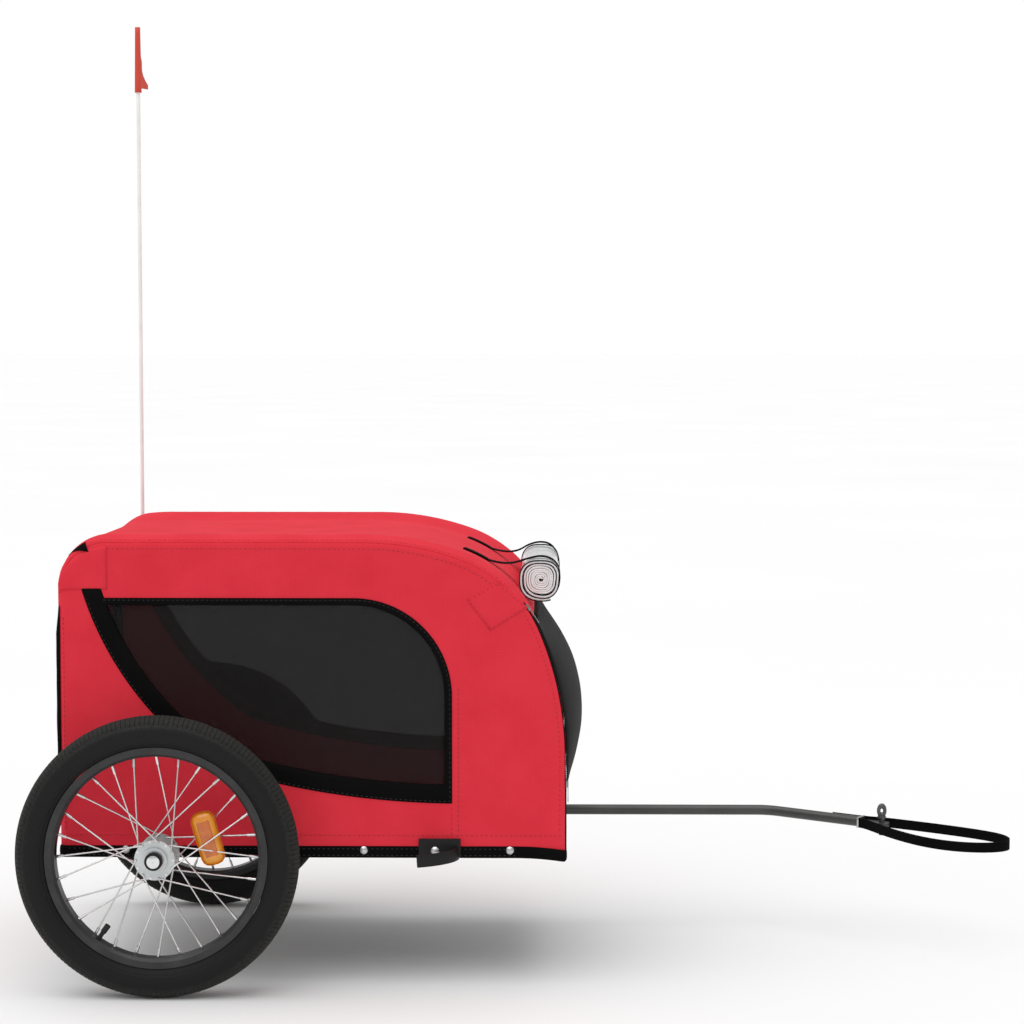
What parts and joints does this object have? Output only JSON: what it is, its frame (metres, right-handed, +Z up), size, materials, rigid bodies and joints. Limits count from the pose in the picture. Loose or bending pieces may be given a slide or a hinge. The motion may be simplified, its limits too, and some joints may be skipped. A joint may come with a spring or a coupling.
{
  "type": "dog bike trailer",
  "caption": "Two-wheeled dog trailer for a bicycle: tube frame, fabric cabin with mesh windows and doors, spoked quick-release wheels, swinging tow bar and safety flag.",
  "frame": {"origin": "on the ground, at the middle of the part's plan", "axes": "+X forward to the hitch, +Y to the left, +Z up"},
  "size_m": [1.4466, 0.6516, 1.415],
  "materials": {
    "red_canvas": "matte",
    "black_canvas": "matte",
    "black_mesh": "matte",
    "black_webbing": "matte",
    "clear_vinyl": "gloss",
    "black_tube": "satin",
    "grey_tube": "satin",
    "zinc_steel": "satin",
    "spoke_steel": "satin",
    "hub_alloy": "satin",
    "black_rim": "satin",
    "tyre_rubber": "matte",
    "tube_rubber": "matte",
    "black_moulding": "matte",
    "button_chrome": "polished",
    "amber_lens": "gloss",
    "floor_panel": "matte",
    "fibreglass": "satin",
    "flag_cloth": "matte"
  },
  "bodies": {
    "trailer": {"base_frame": "black_tube", "rail_end_caps": "black_moulding", "cross_bars": "black_tube", "bar_connectors": "black_moulding", "floor_board": "floor_panel", "side_hoops": "black_tube", "right_side_wall": "red_canvas", "left_side_wall": "red_canvas", "axles": "zinc_steel", "axle_caps": "black_moulding", "button_springs": "zinc_steel", "window_meshes": "black_mesh", "window_bindings": "black_canvas", "side_guards": "black_moulding", "roll_straps": "black_webbing", "roof": "red_canvas", "front_header": "black_canvas", "front_lower_panel": "black_canvas", "rear_panel": "red_canvas", "zip_tapes": "black_canvas", "hem_bands": "black_canvas", "dome_screws": "zinc_steel", "corner_patches": "red_canvas", "rain_cover_roll": "clear_vinyl", "tow_bracket": "zinc_steel", "tow_pivot_bolt": "zinc_steel", "tow_saddle": "black_moulding", "flag_holders": "black_moulding"},
    "right_wheel": {"right_tyre": "tyre_rubber", "right_inner_tube": "tube_rubber", "right_rim": "black_rim", "right_valve": "tube_rubber", "right_hub": "hub_alloy", "right_bearings": "zinc_steel", "right_spokes": "spoke_steel", "right_wheel_reflector": "amber_lens"},
    "left_wheel": {"left_tyre": "tyre_rubber", "left_inner_tube": "tube_rubber", "left_rim": "black_rim", "left_valve": "tube_rubber", "left_hub": "hub_alloy", "left_bearings": "zinc_steel", "left_spokes": "spoke_steel", "left_wheel_reflector": "amber_lens"},
    "right_button": {"right_release_button": "button_chrome"},
    "left_button": {"left_release_button": "button_chrome"},
    "tow_arm": {"tow_bar": "grey_tube", "safety_strap": "black_webbing", "strap_rivet": "zinc_steel", "hitch_tongue": "zinc_steel"},
    "pull_pin": {"hitch_pin": "zinc_steel"},
    "flag": {"flag_pole": "fibreglass", "flag_pennant": "flag_cloth"},
    "front_flap": {"front_door": "black_mesh"},
    "rear_flap": {"rear_door": "black_mesh"},
    "right_lower_slider": {"right_front_zip_slider": "zinc_steel"},
    "left_lower_slider": {"left_front_zip_slider": "zinc_steel"},
    "right_upper_slider": {"right_upper_zip_slider": "zinc_steel"},
    "left_upper_slider": {"left_upper_zip_slider": "zinc_steel"},
    "rear_slider": {"rear_zip_slider": "zinc_steel"}
  },
  "joints": [
    {"name": "right_wheel_spin", "type": "hinge", "parent": "trailer", "child": "right_wheel", "pos_m": [-0.52331, -0.2875, 0.2], "axis": [0, 1, 0], "continuous": true},
    {"name": "right_button_press", "type": "slide", "parent": "trailer", "child": "right_button", "axis": [0, 1, 0], "range_m": [0, 0.003], "stiffness_N_per_m": 600, "springref_m": -0.001, "deforming": ["button_springs"]},
    {"name": "right_lower_zip_slide", "type": "slide", "parent": "trailer", "child": "right_lower_slider", "axis": [0, 0, 1], "range_m": [0, 0.03]},
    {"name": "right_upper_zip_slide", "type": "hinge", "parent": "trailer", "child": "right_upper_slider", "pos_m": [-0.16537, -0.213, 0.43579], "axis": [0, 1, 0], "range_deg": [0, 6]},
    {"name": "left_wheel_spin", "type": "hinge", "parent": "trailer", "child": "left_wheel", "pos_m": [-0.52331, 0.2875, 0.2], "axis": [0, 1, 0], "continuous": true},
    {"name": "left_button_press", "type": "slide", "parent": "trailer", "child": "left_button", "axis": [0, -1, 0], "range_m": [0, 0.003], "stiffness_N_per_m": 600, "springref_m": -0.001, "deforming": ["button_springs"]},
    {"name": "left_lower_zip_slide", "type": "slide", "parent": "trailer", "child": "left_lower_slider", "axis": [0, 0, 1], "range_m": [0, 0.03]},
    {"name": "left_upper_zip_slide", "type": "hinge", "parent": "trailer", "child": "left_upper_slider", "pos_m": [-0.16537, 0.213, 0.43579], "axis": [0, 1, 0], "range_deg": [0, 6]},
    {"name": "tow_arm_swing", "type": "hinge", "parent": "trailer", "child": "tow_arm", "pos_m": [-0.05331, 0.203, 0.1745], "axis": [0, 0, 1], "range_deg": [-90, 0]},
    {"name": "hitch_pin_pull", "type": "slide", "parent": "tow_arm", "child": "pull_pin", "axis": [0, 0, 1], "range_m": [0, 0.035]},
    {"name": "flag_lift", "type": "slide", "parent": "trailer", "child": "flag", "axis": [0, 0, 1], "range_m": [0, 0.055]},
    {"name": "front_flap_lift", "type": "hinge", "parent": "trailer", "child": "front_flap", "pos_m": [0.00764, 0, 0.52018], "axis": [0, -1, 0], "range_deg": [0, 70]},
    {"name": "rear_flap_lift", "type": "hinge", "parent": "trailer", "child": "rear_flap", "pos_m": [-0.67511, 0, 0.545], "axis": [0, 1, 0], "range_deg": [0, 100]},
    {"name": "rear_zip_slide", "type": "slide", "parent": "trailer", "child": "rear_slider", "axis": [0, 0, 1], "range_m": [0, 0.17]}
  ]
}
